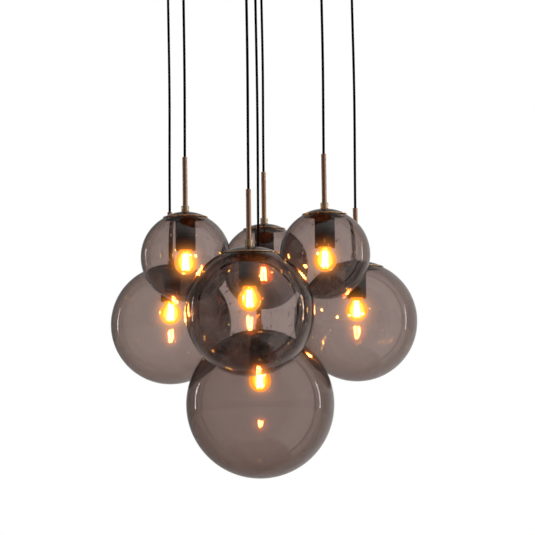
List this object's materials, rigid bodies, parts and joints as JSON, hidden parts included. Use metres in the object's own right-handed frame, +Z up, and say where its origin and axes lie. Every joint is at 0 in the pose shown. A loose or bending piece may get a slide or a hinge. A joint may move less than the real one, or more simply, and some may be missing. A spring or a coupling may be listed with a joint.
{
  "type": "cluster pendant light",
  "caption": "Cluster pendant: smoke-tinted glass globes of three sizes on black cords, with brass stems and caps and lit filament bulbs, hung from a round canopy.",
  "frame": {"origin": "the middle of the ceiling bracket's upper face, where it meets the ceiling, straight above the large globe", "axes": "+Z up to the ceiling, -Y towards the front medium globe, +X along the bracket to the right"},
  "size_m": [0.64, 0.6017, 1.08],
  "materials": {
    "canopy_brass": "brushed and lacquered",
    "zinc_steel": "zinc plated",
    "black_nylon": "moulded, fine texture",
    "terminal_polyamide": "moulded",
    "cord_pvc": "extruded, satin",
    "stem_brass": "satin polished",
    "cap_brass": "darkened, polished",
    "clip_steel": "bright zinc",
    "smoke_glass": "blown, clear, tinted grey-brown",
    "holder_phenolic": "moulded black phenolic",
    "bulb_glass": "thin blown, amber tinted, lit",
    "base_nickel": "nickel plated brass"
  },
  "bodies": {
    "canopy": {"canopy": "canopy_brass", "ceiling_bracket": "zinc_steel", "cord_grips": "black_nylon", "terminal_block": "terminal_polyamide"},
    "cord_centre": {"cord_centre": "cord_pvc"},
    "lamp_centre": {"stem_centre": "stem_brass", "cap_centre": "cap_brass", "glass_clip_centre": "clip_steel", "globe_centre": "smoke_glass", "lampholder_centre": "holder_phenolic"},
    "bulb_centre": {"bulb_centre": "bulb_glass", "bulb_base_centre": "base_nickel"},
    "cord_front": {"cord_front": "cord_pvc"},
    "lamp_front": {"stem_front": "stem_brass", "cap_front": "cap_brass", "glass_clip_front": "clip_steel", "globe_front": "smoke_glass", "lampholder_front": "holder_phenolic"},
    "bulb_front": {"bulb_front": "bulb_glass", "bulb_base_front": "base_nickel"},
    "cord_back_right": {"cord_back_right": "cord_pvc"},
    "lamp_back_right": {"stem_back_right": "stem_brass", "cap_back_right": "cap_brass", "glass_clip_back_right": "clip_steel", "globe_back_right": "smoke_glass", "lampholder_back_right": "holder_phenolic"},
    "bulb_back_right": {"bulb_back_right": "bulb_glass", "bulb_base_back_right": "base_nickel"},
    "cord_back_left": {"cord_back_left": "cord_pvc"},
    "lamp_back_left": {"stem_back_left": "stem_brass", "cap_back_left": "cap_brass", "glass_clip_back_left": "clip_steel", "globe_back_left": "smoke_glass", "lampholder_back_left": "holder_phenolic"},
    "bulb_back_left": {"bulb_back_left": "bulb_glass", "bulb_base_back_left": "base_nickel"},
    "cord_front_right": {"cord_front_right": "cord_pvc"},
    "lamp_front_right": {"stem_front_right": "stem_brass", "cap_front_right": "cap_brass", "glass_clip_front_right": "clip_steel", "globe_front_right": "smoke_glass", "lampholder_front_right": "holder_phenolic"},
    "bulb_front_right": {"bulb_front_right": "bulb_glass", "bulb_base_front_right": "base_nickel"},
    "cord_back": {"cord_back": "cord_pvc"},
    "lamp_back": {"stem_back": "stem_brass", "cap_back": "cap_brass", "glass_clip_back": "clip_steel", "globe_back": "smoke_glass", "lampholder_back": "holder_phenolic"},
    "bulb_back": {"bulb_back": "bulb_glass", "bulb_base_back": "base_nickel"},
    "cord_front_left": {"cord_front_left": "cord_pvc"},
    "lamp_front_left": {"stem_front_left": "stem_brass", "cap_front_left": "cap_brass", "glass_clip_front_left": "clip_steel", "globe_front_left": "smoke_glass", "lampholder_front_left": "holder_phenolic"},
    "bulb_front_left": {"bulb_front_left": "bulb_glass", "bulb_base_front_left": "base_nickel"}
  },
  "joints": [
    {"name": "swing_centre", "type": "hinge", "parent": "canopy", "child": "cord_centre", "pos_m": [0, 0, -0.047], "axis": [1, 0, 0], "range_deg": [-0.35, 1.2]},
    {"name": "height_centre", "type": "slide", "parent": "cord_centre", "child": "lamp_centre", "axis": [0, 0, 1], "range_m": [0, 0.25], "deforming": ["cord_centre"]},
    {"name": "bulb_turn_centre", "type": "hinge", "parent": "lamp_centre", "child": "bulb_centre", "pos_m": [0, 0, -0.857], "axis": [0, 0, 1], "range_deg": [-1260, 0]},
    {"name": "swing_front", "type": "hinge", "parent": "canopy", "child": "cord_front", "pos_m": [0, -0.22521, -0.047], "axis": [-1, 0, 0], "range_deg": [-0.3, 20]},
    {"name": "height_front", "type": "slide", "parent": "cord_front", "child": "lamp_front", "axis": [0, 0, 1], "range_m": [0, 0.25], "deforming": ["cord_front"]},
    {"name": "bulb_turn_front", "type": "hinge", "parent": "lamp_front", "child": "bulb_front", "pos_m": [0, -0.22521, -0.7098], "axis": [0, 0, 1], "range_deg": [-1260, 0]},
    {"name": "swing_back_right", "type": "hinge", "parent": "canopy", "child": "cord_back_right", "pos_m": [0.19504, 0.1126, -0.047], "axis": [0.5, -0.866, 0], "range_deg": [-0.3, 20]},
    {"name": "height_back_right", "type": "slide", "parent": "cord_back_right", "child": "lamp_back_right", "axis": [0, 0, 1], "range_m": [0, 0.25], "deforming": ["cord_back_right"]},
    {"name": "bulb_turn_back_right", "type": "hinge", "parent": "lamp_back_right", "child": "bulb_back_right", "pos_m": [0.19504, 0.1126, -0.7098], "axis": [0, 0, 1], "range_deg": [-1260, 0]},
    {"name": "swing_back_left", "type": "hinge", "parent": "canopy", "child": "cord_back_left", "pos_m": [-0.19504, 0.1126, -0.047], "axis": [0.5, 0.866, 0], "range_deg": [-0.3, 20]},
    {"name": "height_back_left", "type": "slide", "parent": "cord_back_left", "child": "lamp_back_left", "axis": [0, 0, 1], "range_m": [0, 0.25], "deforming": ["cord_back_left"]},
    {"name": "bulb_turn_back_left", "type": "hinge", "parent": "lamp_back_left", "child": "bulb_back_left", "pos_m": [-0.19504, 0.1126, -0.7098], "axis": [0, 0, 1], "range_deg": [-1260, 0]},
    {"name": "swing_front_right", "type": "hinge", "parent": "canopy", "child": "cord_front_right", "pos_m": [0.13986, -0.08075, -0.047], "axis": [-0.5, -0.866, 0], "range_deg": [-5, 20]},
    {"name": "height_front_right", "type": "slide", "parent": "cord_front_right", "child": "lamp_front_right", "axis": [0, 0, 1], "range_m": [0, 0.25], "deforming": ["cord_front_right"]},
    {"name": "bulb_turn_front_right", "type": "hinge", "parent": "lamp_front_right", "child": "bulb_front_right", "pos_m": [0.13986, -0.08075, -0.6226], "axis": [0, 0, 1], "range_deg": [-1260, 0]},
    {"name": "swing_back", "type": "hinge", "parent": "canopy", "child": "cord_back", "pos_m": [0, 0.1615, -0.047], "axis": [1, 0, 0], "range_deg": [-5, 20]},
    {"name": "height_back", "type": "slide", "parent": "cord_back", "child": "lamp_back", "axis": [0, 0, 1], "range_m": [0, 0.25], "deforming": ["cord_back"]},
    {"name": "bulb_turn_back", "type": "hinge", "parent": "lamp_back", "child": "bulb_back", "pos_m": [0, 0.1615, -0.6226], "axis": [0, 0, 1], "range_deg": [-1260, 0]},
    {"name": "swing_front_left", "type": "hinge", "parent": "canopy", "child": "cord_front_left", "pos_m": [-0.13986, -0.08075, -0.047], "axis": [-0.5, 0.866, 0], "range_deg": [-5, 20]},
    {"name": "height_front_left", "type": "slide", "parent": "cord_front_left", "child": "lamp_front_left", "axis": [0, 0, 1], "range_m": [0, 0.25], "deforming": ["cord_front_left"]},
    {"name": "bulb_turn_front_left", "type": "hinge", "parent": "lamp_front_left", "child": "bulb_front_left", "pos_m": [-0.13986, -0.08075, -0.6226], "axis": [0, 0, 1], "range_deg": [-1260, 0]}
  ],
  "couplings": [
    {"joint": "height_front", "follows": "height_centre", "ratio": 1},
    {"joint": "height_back_right", "follows": "height_centre", "ratio": 1},
    {"joint": "height_back_left", "follows": "height_centre", "ratio": 1},
    {"joint": "height_front_right", "follows": "height_centre", "ratio": 1},
    {"joint": "height_back", "follows": "height_centre", "ratio": 1},
    {"joint": "height_front_left", "follows": "height_centre", "ratio": 1}
  ]
}
